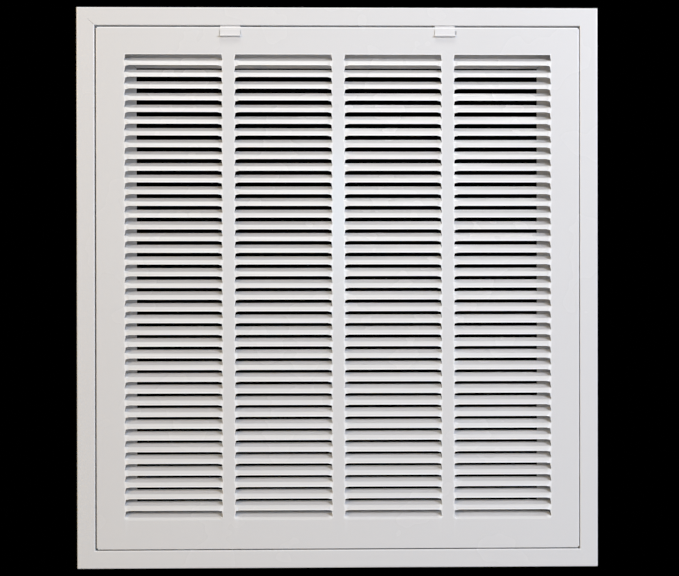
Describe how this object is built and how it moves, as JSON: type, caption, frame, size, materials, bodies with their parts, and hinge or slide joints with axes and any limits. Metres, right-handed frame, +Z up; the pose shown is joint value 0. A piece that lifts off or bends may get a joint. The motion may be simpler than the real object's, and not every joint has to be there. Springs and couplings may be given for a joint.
{
  "type": "return air filter grille",
  "caption": "Wall frame of folded white steel with a bottom-hinged louvred door, sprung finger latches and a neck that holds a thin air filter.",
  "frame": {"origin": "middle of the four wall screw holes, on the plane of the wall", "axes": "+Y into the wall, -Y out of the louvred front, +Z up, +X to the right seen from the front"},
  "size_m": [0.575, 0.0476, 0.618],
  "materials": {
    "frame_coat": "smooth satin white powder coat",
    "door_coat": "smooth satin white powder coat",
    "latch_plastic": "moulded white plastic",
    "bare_steel": "zinc-plated sheet",
    "rivet_metal": "plain",
    "spring_steel": "plain spring strip"
  },
  "bodies": {
    "frame": {"top_rail": "frame_coat", "bottom_rail": "frame_coat", "left_rail": "frame_coat", "right_rail": "frame_coat", "corner_angle_top_left": "bare_steel", "corner_angle_top_right": "bare_steel", "corner_angle_bottom_left": "bare_steel", "corner_angle_bottom_right": "bare_steel", "corner_rivets": "rivet_metal"},
    "door": {"louvre_door": "door_coat", "hinge_hook_left": "door_coat", "hinge_hook_right": "door_coat", "latch_guide_left": "door_coat", "latch_guide_right": "door_coat", "latch_spring_left": "spring_steel", "latch_spring_right": "spring_steel"},
    "latch_left": {"latch_tab_left": "latch_plastic", "latch_slide_left": "latch_plastic"},
    "latch_right": {"latch_tab_right": "latch_plastic", "latch_slide_right": "latch_plastic"}
  },
  "joints": [
    {"name": "door_swing", "type": "hinge", "parent": "frame", "child": "door", "pos_m": [0, -0.01, -0.287], "axis": [1, 0, 0], "range_deg": [0, 90]},
    {"name": "latch_left_slide", "type": "slide", "parent": "door", "child": "latch_left", "axis": [0, 0, -1], "range_m": [0, 0.0021], "stiffness_N_per_m": 400, "springref_m": -0.003, "deforming": ["latch_spring_left"]},
    {"name": "latch_right_slide", "type": "slide", "parent": "door", "child": "latch_right", "axis": [0, 0, -1], "range_m": [0, 0.0021], "stiffness_N_per_m": 400, "springref_m": -0.003, "deforming": ["latch_spring_right"]}
  ]
}
